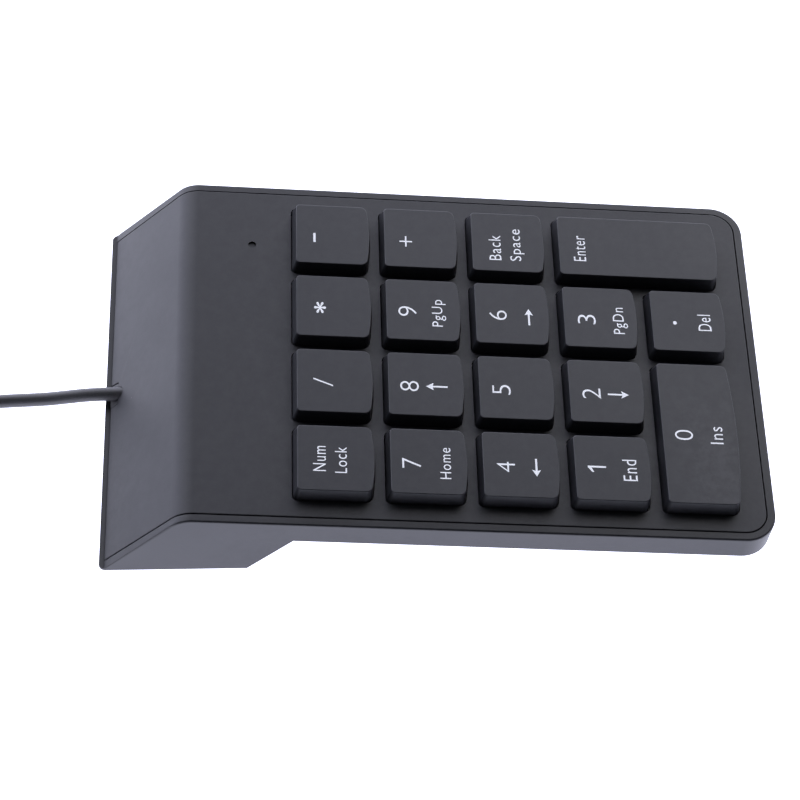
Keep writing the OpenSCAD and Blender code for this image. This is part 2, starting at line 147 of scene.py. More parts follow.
# The lead, its tie and its plug are placed straight on the table. These are in metres
CORD_D = 0.0029
COIL_CENTRE = (-0.0219, 0.121)
COIL_RADII = [0.0203, 0.0174, 0.0145]
COIL_LAYERS = 4

# and these in millimetres
PLUG_AT = (19, 117, 4)
LEAD_OUT = [
    (-0.8, 64.5, 3), (-0.8, 67, 3), (-0.8, 69, 3), (-0.8, 73, 2.8), (-0.8, 76, 2.4), (-0.8, 79, 1.9),
    (-0.9, 82, 1.6), (-1, 85, 1.5), (-1.2, 90, 1.5), (-1.5, 96, 1.5), (-1.6, 102, 1.5), (-1.6, 108, 1.5),
    (-1.6, 114, 1.5),
]
LEAD_END = [
    (-16, 101.2, 10.8), (-12, 101, 10.2), (-8, 100.8, 9.4), (-4, 100.7, 8.2), (0, 100.7, 6.9),
    (4, 100.9, 5.5), (8, 101.6, 4.4), (12, 103.2, 3.8), (15, 105.5, 3.8), (17.2, 108.5, 3.9),
    (18.4, 112, 4), (19, 115.5, 4), (19, 119, 4),
]


def lead_route():
    """Out of the case, along the table, round the coil layer by layer, and on to the plug.

    A turn moves over to the next turn's place in its last quarter."""
    route = [Vector(p) * MM for p in LEAD_OUT]
    steps = 16
    moving = 0.25
    lays = []
    for layer in range(COIL_LAYERS):
        lays += [(layer, column) for column in ((0, 1, 2) if layer % 2 == 0 else (2, 1, 0))]
    turns = len(lays) - moving
    for k in range(int(turns * steps) + 1):
        at = k / steps
        lay = min(int(at), len(lays) - 1)
        blend = max(0.0, (at - lay - (1 - moving)) / moving)
        blend = blend * blend * (3 - 2 * blend)
        here, ahead = lays[lay], lays[min(lay + 1, len(lays) - 1)]
        radius = COIL_RADII[here[1]] * (1 - blend) + COIL_RADII[ahead[1]] * blend
        height = (here[0] * (1 - blend) + ahead[0] * blend) * CORD_D + CORD_D / 2
        angle = 2 * math.pi * at
        route.append(Vector((
            COIL_CENTRE[0] + radius * math.cos(angle),
            COIL_CENTRE[1] + radius * math.sin(angle),
            height,
        )))
    return route + [Vector(p) * MM for p in LEAD_END]


def add_lead():
    """The lead is one curve from the case to its plug."""
    route = lead_route()
    data = bpy.data.curves.new("usb_lead", "CURVE")
    data.dimensions = "3D"
    data.bevel_depth = CORD_D / 2
    data.bevel_resolution = 3
    data.resolution_u = 2
    data.use_fill_caps = True
    spline = data.splines.new("BEZIER")
    spline.bezier_points.add(len(route) - 1)
    for point, at in zip(spline.bezier_points, route):
        point.co = at
        point.handle_left_type = point.handle_right_type = "AUTO"
    lead = bpy.data.objects.new("usb_lead", data)
    bpy.context.scene.collection.objects.link(lead)
    return lead


# ---- Modelling helpers ----

def fresh():
    """Leaves edit mode with nothing selected."""
    if bpy.context.object and bpy.context.object.mode != "OBJECT":
        bpy.ops.object.mode_set(mode="OBJECT")
    bpy.ops.object.select_all(action="DESELECT")


def only(piece):
    """Leaves just this piece selected and active."""
    fresh()
    piece.select_set(True)
    bpy.context.view_layer.objects.active = piece


def named(name):
    """Names the piece that was just added."""
    piece = bpy.context.object
    piece.name = piece.data.name = name
    return piece


def keep_place():
    """Moves the selected piece's place, turn and size into its mesh."""
    bpy.ops.object.transform_apply(location=True, rotation=True, scale=True)


def drawn(name, path, low, high, arc_steps=8):
    """A closed outline, drawn run by run from its first point, and pulled up from low to high.

    A run of two numbers goes straight to that point. A run of three or four turns about a centre by an
    angle, in that many steps."""
    fresh()
    bpy.ops.mesh.primitive_plane_add(size=MM)
    piece = named(name)
    bpy.ops.object.mode_set(mode="EDIT")
    bpy.ops.mesh.select_mode(type="VERT")
    bpy.ops.mesh.select_all(action="SELECT")
    bpy.ops.mesh.merge(type="CENTER")
    here = Vector(path[0])
    bpy.ops.transform.translate(value=(here.x * MM, here.y * MM, low * MM))
    for run in path[1:]:
        if len(run) == 2:
            step = (Vector(run) - here) * MM
            bpy.ops.mesh.extrude_vertices_move(TRANSFORM_OT_translate={"value": (step.x, step.y, 0)})
            here = Vector(run)
        else:
            centre, turn = Vector(run[:2]), math.radians(run[2])
            steps = run[3] if len(run) == 4 else arc_steps
            pivot = (centre.x * MM, centre.y * MM, low * MM)
            bpy.ops.mesh.spin(steps=steps, angle=-turn, center=pivot, axis=(0, 0, 1))
            arm = here - centre
            here = centre + Vector((
                arm.x * math.cos(turn) - arm.y * math.sin(turn),
                arm.x * math.sin(turn) + arm.y * math.cos(turn),
            ))
    bpy.ops.mesh.select_all(action="SELECT")
    bpy.ops.mesh.remove_doubles(threshold=0.002 * MM)
    bpy.ops.mesh.edge_face_add()
    raise_picked(high - low)
    bpy.ops.mesh.select_all(action="SELECT")
    bpy.ops.mesh.normals_make_consistent(inside=False)
    fresh()
    return piece


def box_run(x0, y0, x1, y1):
    """A rectangle from one corner to the other, as runs for drawn()."""
    return [(x0, y0), (x1, y0), (x1, y1), (x0, y1)]


def round_run(half_x, half_y, r, at=(0, 0)):
    """A rectangle with round corners, as runs for drawn()."""
    x, y = at
    right, top = half_x - r, half_y - r
    return [
        (x - right, y - half_y), (x + right, y - half_y), (x + right, y - top, 90),
        (x + half_x, y + top), (x + right, y + top, 90),
        (x - right, y + half_y), (x - right, y + top, 90),
        (x - half_x, y - top), (x - right, y - top, 90),
    ]


def rod(name, at, r, low, high, sides=24):
    """A round post, pin or drill standing on the plate's frame."""
    fresh()
    bpy.ops.mesh.primitive_cylinder_add(
        vertices=sides, radius=r * MM, depth=(high - low) * MM,
        location=(at[0] * MM, at[1] * MM, (low + high) / 2 * MM),
    )
    piece = named(name)
    keep_place()
    return piece


def turned(piece, degrees):
    """Turns a piece about the origin by three angles, and keeps the turn in its mesh."""
    only(piece)
    piece.rotation_euler = [math.radians(a) for a in degrees]
    keep_place()
    return piece


def moved(piece, offset):
    """Moves a piece by millimetres, and keeps the move in its mesh."""
    only(piece)
    piece.location = Vector(offset) * MM
    keep_place()
    return piece


def side_drawn(name, path, half_w):
    """An outline seen from the side, pulled out to both sides of the middle."""
    return turned(drawn(name, path, -half_w, half_w, arc_steps=12), (90, 0, 90))


def pick(piece, kind, test):
    """Goes into edit mode with just the vertices, edges or faces selected that test says yes to.

    The test gets the middle in millimetres, and an edge's direction or a face's normal."""
    only(piece)
    bpy.ops.object.mode_set(mode="EDIT")
    bpy.ops.mesh.select_mode(type=kind)
    bpy.ops.mesh.select_all(action="DESELECT")
    bpy.ops.object.mode_set(mode="OBJECT")
    mesh = piece.data
    spots = [v.co / MM for v in mesh.vertices]
    if kind == "VERT":
        for vertex, spot in zip(mesh.vertices, spots):
            vertex.select = test(spot, vertex.normal)
    elif kind == "EDGE":
        for edge in mesh.edges:
            a, b = (spots[i] for i in edge.vertices)
            edge.select = test((a + b) / 2, (b - a).normalized())
    else:
        for face in mesh.polygons:
            face.select = test(face.center / MM, face.normal)
    bpy.ops.object.mode_set(mode="EDIT")


def bevel_picked(width, segments):
    """Rounds the edges that pick() left selected, and leaves edit mode."""
    bpy.ops.mesh.bevel(offset=width * MM, segments=segments, affect="EDGES", clamp_overlap=False)
    fresh()


def resize_picked(x, y, centre_y=0):
    """Scales what is selected in X and Y about a point on the middle line."""
    bpy.ops.transform.resize(value=(x, y, 1), center_override=(0, centre_y * MM, 0))


def raise_picked(height):
    """Extrudes the selected faces straight up."""
    bpy.ops.mesh.extrude_region_move(TRANSFORM_OT_translate={"value": (0, 0, height * MM)})


def thrown_away(*pieces):
    """Removes helpers that are used up."""
    for piece in pieces:
        bpy.data.objects.remove(piece, do_unlink=True)


def soften(piece, width, segments=2, angle=50):
    """Rounds every sharp edge of a clean piece."""
    only(piece)
    bevel = piece.modifiers.new("soften", "BEVEL")
    bevel.width = width * MM
    bevel.segments = segments
    bevel.limit_method = "ANGLE"
    bevel.angle_limit = math.radians(angle)
    bevel.use_clamp_overlap = False
    bpy.ops.object.modifier_apply(modifier="soften")
    return piece


def cut(piece, tool, operation="DIFFERENCE"):
    """Cuts the tool out of the piece, joins it on, or leaves what both share. The tool is used up."""
    only(piece)
    boolean = piece.modifiers.new("cut", "BOOLEAN")
    boolean.operation = operation
    boolean.solver = "EXACT"
    boolean.object = tool
    bpy.ops.object.modifier_apply(modifier="cut")
    thrown_away(tool)
    return piece


def joined(pieces, name):
    """Several meshes as one piece."""
    fresh()
    for piece in pieces:
        piece.select_set(True)
    bpy.context.view_layer.objects.active = pieces[0]
    if len(pieces) > 1:
        bpy.ops.object.join()
    pieces[0].name = pieces[0].data.name = name
    return pieces[0]


def copied(piece, name):
    """A copy of a piece with its own mesh."""
    twin = piece.copy()
    twin.data = piece.data.copy()
    twin.name = twin.data.name = name
    bpy.context.scene.collection.objects.link(twin)
    return twin


def smooth(piece, angle=32):
    """Smooth shading with crisp corners; large flat faces keep their own normal up to a rounded edge."""
    only(piece)
    bpy.ops.object.shade_smooth_by_angle(angle=math.radians(angle))
    weighted = piece.modifiers.new("weighted", "WEIGHTED_NORMAL")
    weighted.keep_sharp = True
    weighted.weight = 100
    bpy.ops.object.modifier_apply(modifier="weighted")
    return piece


def settle(piece, place=PLATE):
    """Sets a piece from the plate's frame down on the table."""
    only(piece)
    piece.matrix_world = place
    keep_place()
    return piece


def dressed(piece, *materials):
    """Gives a piece or a CAD node its materials."""
    piece.data.materials.clear()
    for material in materials:
        piece.data.materials.append(material)


def finished(piece, body, material, slot, *nodes):
    """Gives a piece its material and its body, and hides the CAD nodes that it replaces; the slot is not
    used.
    """
    dressed(piece, material)
    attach(piece, body)
    if nodes:
        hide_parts(*nodes)
    return piece


# ---- Case ----

def slope_y(z, depth):
    """Where a line parallel to the rear face, at a depth below it, reaches a height."""
    return CREASE_Y - z / math.tan(REAR_SLOPE) - depth / math.sin(REAR_SLOPE)


def skin_run(depth, end_z):
    """Side view of the plate, the rounded crease and the rear face, at a depth below the outside."""
    return [
        (PAST_FRONT, -depth), (CREASE_ARC[0], -depth),
        (CREASE_ARC[0], CREASE_ARC[1], -math.degrees(REAR_SLOPE)), (slope_y(end_z, depth), end_z),
    ]


def hump_z(y):
    """Height of the hump's underside, which is level with the table."""
    return HUMP_Z - (y - STEP_Y) * math.tan(TILT)


def floor_run(height):
    """Side view of the slab, step and hump from the rear forward, at a height above the underside."""
    run, drop = STEP_Y - STEP_FOOT_Y, HUMP_Z - SLAB_Z
    length = math.hypot(run, drop)
    base = Vector((STEP_FOOT_Y - height * drop / length, SLAB_Z + height * run / length))
    to_slab = (SLAB_Z + height - base.y) / drop
    hump = HUMP_Z + height / math.cos(TILT)
    to_hump = (hump - (base.x - STEP_Y) * math.tan(TILT) - base.y) / (drop + run * math.tan(TILT))
    return [
        (base.x + run * to_hump, base.y + drop * to_hump),
        (base.x + run * to_slab, base.y + drop * to_slab), (PAST_FRONT, SLAB_Z + height),
    ]


def case_block(name, side, inset, rear_y, rear_r):
    """The shape that has a given side view, and the case's outline drawn in by inset from above."""
    half, front, r = HALF_W - inset, FRONT_Y - inset, CORNER_R - inset
    rear = [(half, rear_y), (-half, rear_y)]
    if rear_r:
        rear = [
            (half, rear_y - rear_r), (half - rear_r, rear_y - rear_r, 90),
            (rear_r - half, rear_y), (rear_r - half, rear_y - rear_r, 90),
        ]
    plan = [(r - half, -front), (half - r, -front), (half - r, r - front, 90)]
    plan += rear + [(-half, r - front), (r - half, r - front, 90)]
    block = drawn(name, plan, -40, 20, arc_steps=12)
    return cut(block, side_drawn("side", side, PAST_SIDE), "INTERSECT")


def drilled(piece, spots, r, low, high, operation="DIFFERENCE"):
    """Cuts a round hole at each spot, or joins a post on there."""
    for spot in spots:
        cut(piece, rod("rod", spot, r, low, high), operation)


def cord_drill():
    """The round way for the lead, level with the table."""
    x, _, z = LEAD_OUT[0]
    drill = turned(rod("drill", (0, 0), 1.57, 0, 30, sides=40), (-90, 0, 0))
    return settle(moved(drill, (x, 52, z)), PLATE.inverted())


def notch_block(half_low, half_high, low, high):
    """The tapered notch above the lead, as a block through the rear face."""
    x = LEAD_OUT[0][0]
    outline = [(x - half_low, low), (x + half_low, low), (x + half_high, high), (x - half_high, high)]
    return turned(drawn("notch", outline, -PAST_LIP, -74), (90, 0, 0))


def cover_top(openings):
    """The top cover: plate, crease and rear face in one skin, with the key openings cut in it."""
    end = LIP_TOP + SEAM
    inner_r = CREASE_R - COVER_T
    side = skin_run(0, end) + [
        (slope_y(end, COVER_T), end),
        (CREASE_ARC[0] + inner_r * math.sin(REAR_SLOPE), CREASE_ARC[1] + inner_r * math.cos(REAR_SLOPE)),
        (CREASE_ARC[0], CREASE_ARC[1], math.degrees(REAR_SLOPE)), (PAST_FRONT, -COVER_T),
    ]
    cover = case_block("cover_top", side, RIM_W + SEAM, PAST_REAR, 0)
    soften(cover, 0.2)
    drilled(cover, SHORT_SCREWS, 1.75, PAD_Z, -0.9, "UNION")
    drilled(cover, LONG_SCREWS, 2.8, LONG_BOSS_Z, -0.9, "UNION")
    drilled(cover, STANDOFFS, 1.5, -4.35, -0.9, "UNION")
    for opening in openings:
        cut(cover, opening)
    drilled(cover, [LED_SPOT], 0.85, -4, 2)
    drilled(cover, SHORT_SCREWS, 0.8, -6, -1.5)
    drilled(cover, LONG_SCREWS, 1, -9, -1.5)
    cut(cover, notch_block(3.15, 2.8, LIP_TOP - 1, -17.7))
    cut(cover, cord_drill())
    return smooth(cover)


def base_posts():
    """Pads, screw bosses and board posts that stand on the floor of the base."""
    posts = [rod("pad", spot, 3, -5.9, PAD_Z) for spot in SHORT_SCREWS]
    posts += [rod("boss", spot, 3.2, PAST_BELOW, LONG_BOSS_Z) for spot in LONG_SCREWS]
    posts += [rod("board_post", spot, 2.2, PAST_BELOW, SLAB_FLOOR - 1.2) for spot in BOARD_SCREWS]
    root = 0.4
    end_y = 75
    trim = [(PAST_FRONT, -1), (end_y, -1), (end_y, hump_z(end_y) + root / math.cos(TILT))]
    trim += floor_run(root)
    return [cut(post, side_drawn("trim", trim, PAST_SIDE), "INTERSECT") for post in posts]


def bar_holder(name):
    """A prong with a round seat for a stabilizer wire."""
    half, seat_r = 1.2, 0.56
    low, seat_z, top = -5.45, -2.5, -2.2
    outline = [
        (-half, low), (half, low), (half, top), (seat_r, top), (seat_r, seat_z),
        (0, seat_z, -180), (-seat_r, top), (-half, top),
    ]
    return side_drawn(name, outline, 1)


def base_block():
    """The base as a full block, with its rim rounded along the front, the sides and down the rear."""
    side = skin_run(RIM_DROP, LIP_TOP) + [(PAST_LIP, LIP_TOP - 0.4), (PAST_LIP, hump_z(PAST_LIP))]
    base = case_block("case_base", side + floor_run(0), 0, LIP_END_Y, LIP_CORNER_R)
    side_x = HALF_W - 0.05
    pick(base, "EDGE", lambda c, d: (
        c.z > -0.1 and (abs(c.x) > side_x or c.y < CORNER_R - FRONT_Y)
        or c.y > 60 and c.z > -15 and abs(c.x) > side_x
    ))
    bevel_picked(RIM_ROUND, 3)
    return base


def cover_pocket():
    """The space in the base that the cover drops into, down to the lip."""
    end = LIP_TOP - 0.03
    pocket = skin_run(COVER_T, end) + [(PAST_REAR, end), (PAST_REAR, 6), (PAST_FRONT, 6)]
    return case_block("pocket", pocket, RIM_W, PAST_REAR, 0)


def inner_room():
    """The space inside the base, as far back as the inside of the rear face meets the floor."""
    depth = 1
    reach = CREASE_Y - depth / math.sin(REAR_SLOPE) - STEP_Y
    low = HUMP_Z + FLOOR_T / math.cos(TILT) - reach * math.tan(TILT)
    low /= 1 - math.tan(TILT) / math.tan(REAR_SLOPE)
    room = skin_run(depth, low) + floor_run(FLOOR_T)
    return case_block("room", room, WALL_T, PAST_REAR, 0)


def notch_tab():
    """The tab of the base that closes the cover's notch above the lead."""
    high, low, outer = -16, -20.4, 0.1
    corners = ((high, outer), (low, outer), (low, COVER_T), (high, COVER_T))
    skin = [(slope_y(z, depth), z) for z, depth in corners]
    return cut(side_drawn("tab", skin, 6), notch_block(2.9, 2.55, -20.35, -17.95), "INTERSECT")


def case_base():
    """The base: rim, side walls, thin slab, step and hump, with the lip along the rear."""
    base = base_block()
    cut(base, cover_pocket())
    cut(base, inner_room())
    for post in base_posts():
        cut(base, post, "UNION")
    for x, y in BAR_SEATS:
        holder = bar_holder("holder")
        if x > 0:
            turned(holder, (0, 0, 90))
        cut(base, moved(holder, (x, y, 0)), "UNION")
    cut(base, notch_tab(), "UNION")
    cut(base, cord_drill())
    drilled(base, SHORT_SCREWS, 1.15, -6, -3)
    drilled(base, SHORT_SCREWS, 1.9, -9, -5.25)
    drilled(base, LONG_SCREWS, 1.25, -12, -6)
    drilled(base, LONG_SCREWS, 2.3, PAST_BELOW, -11)
    drilled(base, BOARD_SCREWS, 0.7, -10.9, -6)
    return smooth(base)


# ---- Keys ----

def key_run(columns, rows, grow):
    """Outline of a key from above: straight sides, tight rear corners and a bowed front."""
    wide, deep = (columns - 1) * PITCH / 2, (rows - 1) * PITCH / 2
    half, rear, front = KEY_HALF + wide + grow, KEY_REAR + deep + grow, KEY_FRONT + deep + grow
    bow = KEY_BOW * (1.35 if columns > 1 else 1)
    drum = (half - grow) ** 2 / (2 * bow) + grow
    r, rear_r = 1.6 + grow, 0.95 + grow
    middle = drum - front
    corner = middle - math.sqrt((drum - r) ** 2 - (half - r) ** 2)
    lean = math.atan2(half - r, middle - corner)
    start = (-drum * math.sin(lean), middle - drum * math.cos(lean))
    turn = math.degrees(lean)
    return [
        start, (0, middle, 2 * turn, 14 * columns), (half - r, corner, 90 - turn),
        (half, rear - rear_r), (half - rear_r, rear - rear_r, 90),
        (rear_r - half, rear), (rear_r - half, rear - rear_r, 90),
        (-half, corner), (r - half, corner, 90 - turn),
    ]


def key_spot(column, row, columns, rows):
    """The middle of a key on the plate."""
    return ((column + (columns - 1) / 2 - 1.5) * PITCH, (2 - row - (rows - 1) / 2) * PITCH)


def bar_hook(name):
    """A hook under a wide cap that holds the end of its stabilizer bar."""
    half, slot, slot_top, root = 1.4, 0.8, -0.5, CEILING + 0.2
    outline = [
        (-half, SKIRT_Z), (-slot, SKIRT_Z), (-slot, slot_top), (slot, slot_top),
        (slot, SKIRT_Z), (half, SKIRT_Z), (half, root), (-half, root),
    ]
    return side_drawn(name, outline, 0.7)


def cap_shell(name, columns, rows):
    """The outside and the hollow of one cap: leaning walls and a soft edge round the top."""
    wide, deep = (columns - 1) * PITCH / 2, (rows - 1) * PITCH / 2
    half, length = KEY_HALF + wide, KEY_FRONT + KEY_REAR + 2 * deep
    cap = drawn(name, key_run(columns, rows, 0), SKIRT_Z, KEY_H)
    pick(cap, "FACE", lambda c, n: True)
    bpy.ops.mesh.bisect(plane_co=(0, 0, 0), plane_no=(0, 0, 1))
    narrower, shorter, front_in = 0.72, 0.92, 0.2
    pick(cap, "VERT", lambda c, n: c.z > KEY_H - 0.1)
    still_y = front_in * length / shorter - KEY_FRONT - deep
    resize_picked((half - narrower) / half, (length - shorter) / length, still_y)
    pick(cap, "EDGE", lambda c, d: c.z > KEY_H - 0.01)
    bevel_picked(0.16, 2)
    wall = 1.0
    pick(cap, "FACE", lambda c, n: n.z < -0.9)
    bpy.ops.mesh.inset(thickness=wall * MM)
    raise_picked(CEILING - SKIRT_Z)
    resize_picked((half - 1.4) / (half - wall), (length - 2.5) / (length - 2 * wall))
    fresh()
    return cap


def key_cap(name, columns, rows):
    """One cap with its stem, its crossed ribs, its stop tabs and, on a double one, its bar hooks."""
    wide, deep = (columns - 1) * PITCH / 2, (rows - 1) * PITCH / 2
    cap = cap_shell(name, columns, rows)
    extras = [soften(rod("stem", (0, 0), 2.2, STEM_Z, CEILING + 0.3), 0.15, 1)]
    extras.append(drawn("rib", box_run(-7, -0.4, 7, 0.4), 0.85, 1.85))
    extras.append(drawn("rib", box_run(-0.4, -7, 0.4, 6.4), 0.8, 1.9))
    hook_at, hook_in = 10.1, 1.387
    for side in (-1, 1):
        for y in ([-deep, deep] if rows > 1 else [0]):
            x = side * (8.2 + wide)
            tab = box_run(x - 1, y - 4, x + 1, y + 4)
            extras.append(drawn("tab", tab, SKIRT_Z + 0.01, SKIRT_Z + 0.6))
        if columns > 1:
            extras.append(moved(bar_hook("hook"), (side * hook_at, -hook_in, 0)))
        if rows > 1:
            extras.append(moved(turned(bar_hook("hook"), (0, 0, 90)), (hook_in, side * hook_at, 0)))
    for extra in extras:
        cut(cap, extra, "UNION")
    return smooth(cap, 50)


# Legends: text or arrow, with its left, right, near and far edge from the middle of the key's top
LEGENDS = {
    "num_lock": [("Num", -3.24, 2.77, 1.41, 4.06), ("Lock", -3.53, 2.72, -2.86, -0.41)],
    "divide": [("/", -1.44, 0.56, -0.23, 3.81)],
    "multiply": [("*", -1.91, 0.95, 1.03, 3.56)],
    "minus": [("-", -2.23, 0.2, 3.06, 3.56)],
    "7": [("7", -1.72, 0.69, 1.0, 4.86), ("Home", -4.07, 3.43, -5.12, -2.86)],
    "8": [("8", -1.84, 0.67, 0.9, 4.8), ("up", -1.35, 0.35, -5.1, -0.6)],
    "9": [("9", -1.72, 0.79, 0.8, 4.7), ("PgUp", -4.13, 2.82, -5.44, -2.45)],
    "plus": [("+", -2.36, 0.42, 1.26, 3.97)],
    "4": [("4", -1.85, 0.6, 0.7, 4.45), ("left", -2.69, 1.6, -4.55, -2.9)],
    "5": [("5", -1.8, 0.6, 0.65, 4.5)],
    "6": [("6", -1.7, 0.74, 0.55, 4.3), ("right", -2.8, 1.4, -5.0, -3.35)],
    "backspace": [("Back", -4.88, 1.77, 0.94, 3.56), ("Space", -4.88, 3.66, -4.13, -0.96)],
    "1": [("1", -1.04, 0.42, 0.8, 4.6), ("End", -2.93, 2.18, -5.59, -2.67)],
    "2": [("2", -1.93, 0.65, 0.65, 4.55), ("down", -1.55, 0.15, -5.3, -0.85)],
    "3": [("3", -1.81, 0.6, 0.45, 4.3), ("PgDn", -4.06, 2.78, -6.45, -3.29)],
    "enter": [("Enter", -4.12, 2.69, 10.9, 13.6)],
    "0": [("0", -1.89, 0.6, 0.85, 4.7), ("Ins", -2.58, 1.66, -5.48, -2.71)],
    "decimal": [(".", -1.0, -0.1, 1.85, 2.7), ("Del", -2.34, 1.89, -5.61, -2.76)],
}
ARROW_TURNS = {"left": 0, "down": 90, "right": 180, "up": 270}
INK_LOW = KEY_H - 0.01
INK_HIGH = KEY_H + 0.02


def arrow(kind, length):
    """A printed arrow with a thin shaft and a small solid head, centred on the origin."""
    tip, back = -length / 2, length / 2
    barb, neck, half_head, half_shaft = tip + 1.6, tip + 1.35, 0.9, 0.2
    outline = [
        (tip, 0), (barb, -half_head), (neck, -half_shaft), (back, -half_shaft),
        (back, half_shaft), (neck, half_shaft), (barb, half_head),
    ]
    return turned(drawn("arrow", outline, INK_LOW, INK_HIGH), (0, 0, ARROW_TURNS[kind]))


def figure_one(left, right, near, far):
    """The figure 1: a plain stem with a short flag."""
    outline = [
        (right - 0.4, near), (right, near), (right, far), (right - 0.35, far), (left, far - 0.85),
        (left, far - 1.25), (right - 0.4, far - 0.75),
    ]
    return drawn("figure_one", outline, INK_LOW, INK_HIGH)


def stroke_gain(text):
    """How much the strokes of a mark swell, or thin where it is below zero."""
    if text == "*":
        return 0.012
    return -0.015 if len(text) < 2 else -0.004


def word(text, left, right, near, far):
    """A word in the plain sans face, made a mesh and fitted between its four edges."""
    fresh()
    bpy.ops.object.text_add()
    mark = bpy.context.object
    mark.data.body = text
    mark.data.space_character = 1.12
    mark.data.offset = stroke_gain(text)
    mark.data.extrude = 0.5
    mark.data.resolution_u = 4
    bpy.ops.object.convert(target="MESH")
    mark = bpy.context.object
    spots = [v.co for v in mark.data.vertices]
    low = Vector([min(s[i] for s in spots) for i in range(3)])
    high = Vector([max(s[i] for s in spots) for i in range(3)])
    size = Vector((right - left, far - near, INK_HIGH - INK_LOW)) * MM
    mark.scale = [size[i] / (high[i] - low[i]) for i in range(3)]
    start = Vector((left, near, INK_LOW)) * MM
    mark.location = [start[i] - low[i] * mark.scale[i] for i in range(3)]
    keep_place()
    return mark


def legend(name, marks):
    """All the marks of one key as one print."""
    pieces = []
    for text, left, right, near, far in marks:
        if text in ARROW_TURNS:
            length = max(right - left, far - near)
            pieces.append(moved(arrow(text, length), ((left + right) / 2, (near + far) / 2, 0)))
        elif text == "1":
            pieces.append(figure_one(left, right, near, far))
        else:
            pieces.append(word(text, left, right, near, far))
    return joined(pieces, name)


# ---- Switch layer ----

def dome(name):
    """A rubber dome: a soft cone with a flat top, hollow below."""
    fresh()
    foot_r, top_r, wall, hollow = 4.25, 2.3, 0.45, 2.55
    low, high = SHEET_Z + 0.4, STEM_Z - 0.05
    bpy.ops.mesh.primitive_cone_add(
        vertices=36, radius1=foot_r * MM, radius2=top_r * MM, depth=(high - low) * MM,
        location=(0, 0, (low + high) / 2 * MM),
    )
    piece = named(name)
    keep_place()
    pick(piece, "FACE", lambda c, n: n.z < -0.9)
    bpy.ops.mesh.inset(thickness=wall * MM)
    raise_picked(hollow)
    resize_picked(0.5, 0.5)
    pick(piece, "EDGE", lambda c, d: abs(c.z - high) < 0.01)
    bevel_picked(0.4, 3)
    return smooth(piece, 40)


def dome_pad():
    """The rubber sheet that the domes stand on, with its holes for pads and posts."""
    x, y = SHEET_HALF
    pad = drawn("dome_pad", box_run(-x, -y, x, y), SHEET_Z, SHEET_Z + SHEET_T)
    drilled(pad, SHORT_SCREWS, 3.4, -8, 0)
    for x, y in BAR_SEATS:
        cut(pad, drawn("hole", box_run(x - 1.5, y - 1.5, x + 1.5, y + 1.5), -8, 0))
    for _, column, row, columns, rows in KEYS:
        cut(pad, rod("hole", key_spot(column, row, columns, rows), 3.75, -8, 0, sides=36))
    return smooth(pad)


# ---- Feet, tie and plug ----

def stadium_run(half_x, r):
    """A long outline with round ends, as runs for drawn()."""
    return [(-half_x, -r), (half_x, -r), (half_x, 0, 180), (-half_x, r), (-half_x, 0, 180)]


FOOT_RUN = stadium_run(5.5, 2.5)
FOOT_X = 29


def front_foot(name, side):
    """A rubber foot under the slab, cut level with the table."""
    foot = soften(drawn(name, FOOT_RUN, -12, SLAB_Z), 0.2)
    settle(moved(foot, (FOOT_X * side, -43, 0)))
    pick(foot, "FACE", lambda c, n: True)
    bpy.ops.mesh.bisect(plane_co=(0, 0, 0), plane_no=(0, 0, 1), use_fill=True, clear_inner=True)
    pick(foot, "EDGE", lambda c, d: c.z < 0.02)
    bevel_picked(0.2, 2)
    return smooth(foot)


def rear_foot(name, side):
    """A rubber foot that fills the gap between the hump and the table."""
    foot = moved(drawn(name, FOOT_RUN, 0, FOOT_GAP), (FOOT_X * side, 54, 0))
    return smooth(soften(foot, 0.2))


def coil_tie():
    """A strap drawn round the coil, with its pinched end."""
    half_w, half_h = 4.85, 5.8
    band = drawn("coil_tie", round_run(half_w, half_h, 1.2), -2.5, 2.5)
    cut(band, drawn("inside", round_run(half_w - 0.5, half_h - 0.5, 0.9), -3, 3))
    soften(band, 0.1)
    ear = soften(drawn("ear", round_run(0.5, 1.4, 0.3, at=(half_w - 0.3, 0)), -2.2, 2.2), 0.1)
    cut(band, ear, "UNION")
    turned(band, (90, 0, 0))
    turned(moved(band, (COIL_RADII[1] / MM, 0, half_h)), (0, 0, 150))
    return smooth(moved(band, (COIL_CENTRE[0] / MM, COIL_CENTRE[1] / MM, 0)))


GRIP_END = 30.5


def plug_body():
    """The moulded grip: a ribbed strain relief and a waisted block with finger grooves."""
    relief = rod("relief", (0, 0), 2, 0, 8, sides=32)
    for step in range(4):
        low = 0.3 + 1.9 * step
        cut(relief, rod("ring", (0, 0), 2.2 + 0.22 * step, low, low + 1.1, sides=32), "UNION")
    body = drawn("plug_body", round_run(7.5, 3.95, 2.0), 7.5, GRIP_END, arc_steps=6)
    pick(body, "FACE", lambda c, n: True)
    for z in (11.5, 15, 26, 29):
        bpy.ops.mesh.select_all(action="SELECT")
        bpy.ops.mesh.bisect(plane_co=(0, 0, z * MM), plane_no=(0, 0, 1))
    pick(body, "VERT", lambda c, n: c.z < 8)
    resize_picked(0.72, 0.8)
    pick(body, "VERT", lambda c, n: 14 < c.z < 16)
    resize_picked(0.93, 0.92)
    soften(body, 0.3, 2, 40)
    for side in (-1, 1):
        for z in (17.5, 20, 22.5):
            groove = turned(rod("groove", (0, 0), 0.55, -6, 6, sides=16), (0, 90, 0))
            cut(body, moved(groove, (0, side * 4.1, z)))
    cut(body, relief, "UNION")
    turned(body, (-90, 0, 0))
    return smooth(moved(body, PLUG_AT), 40)


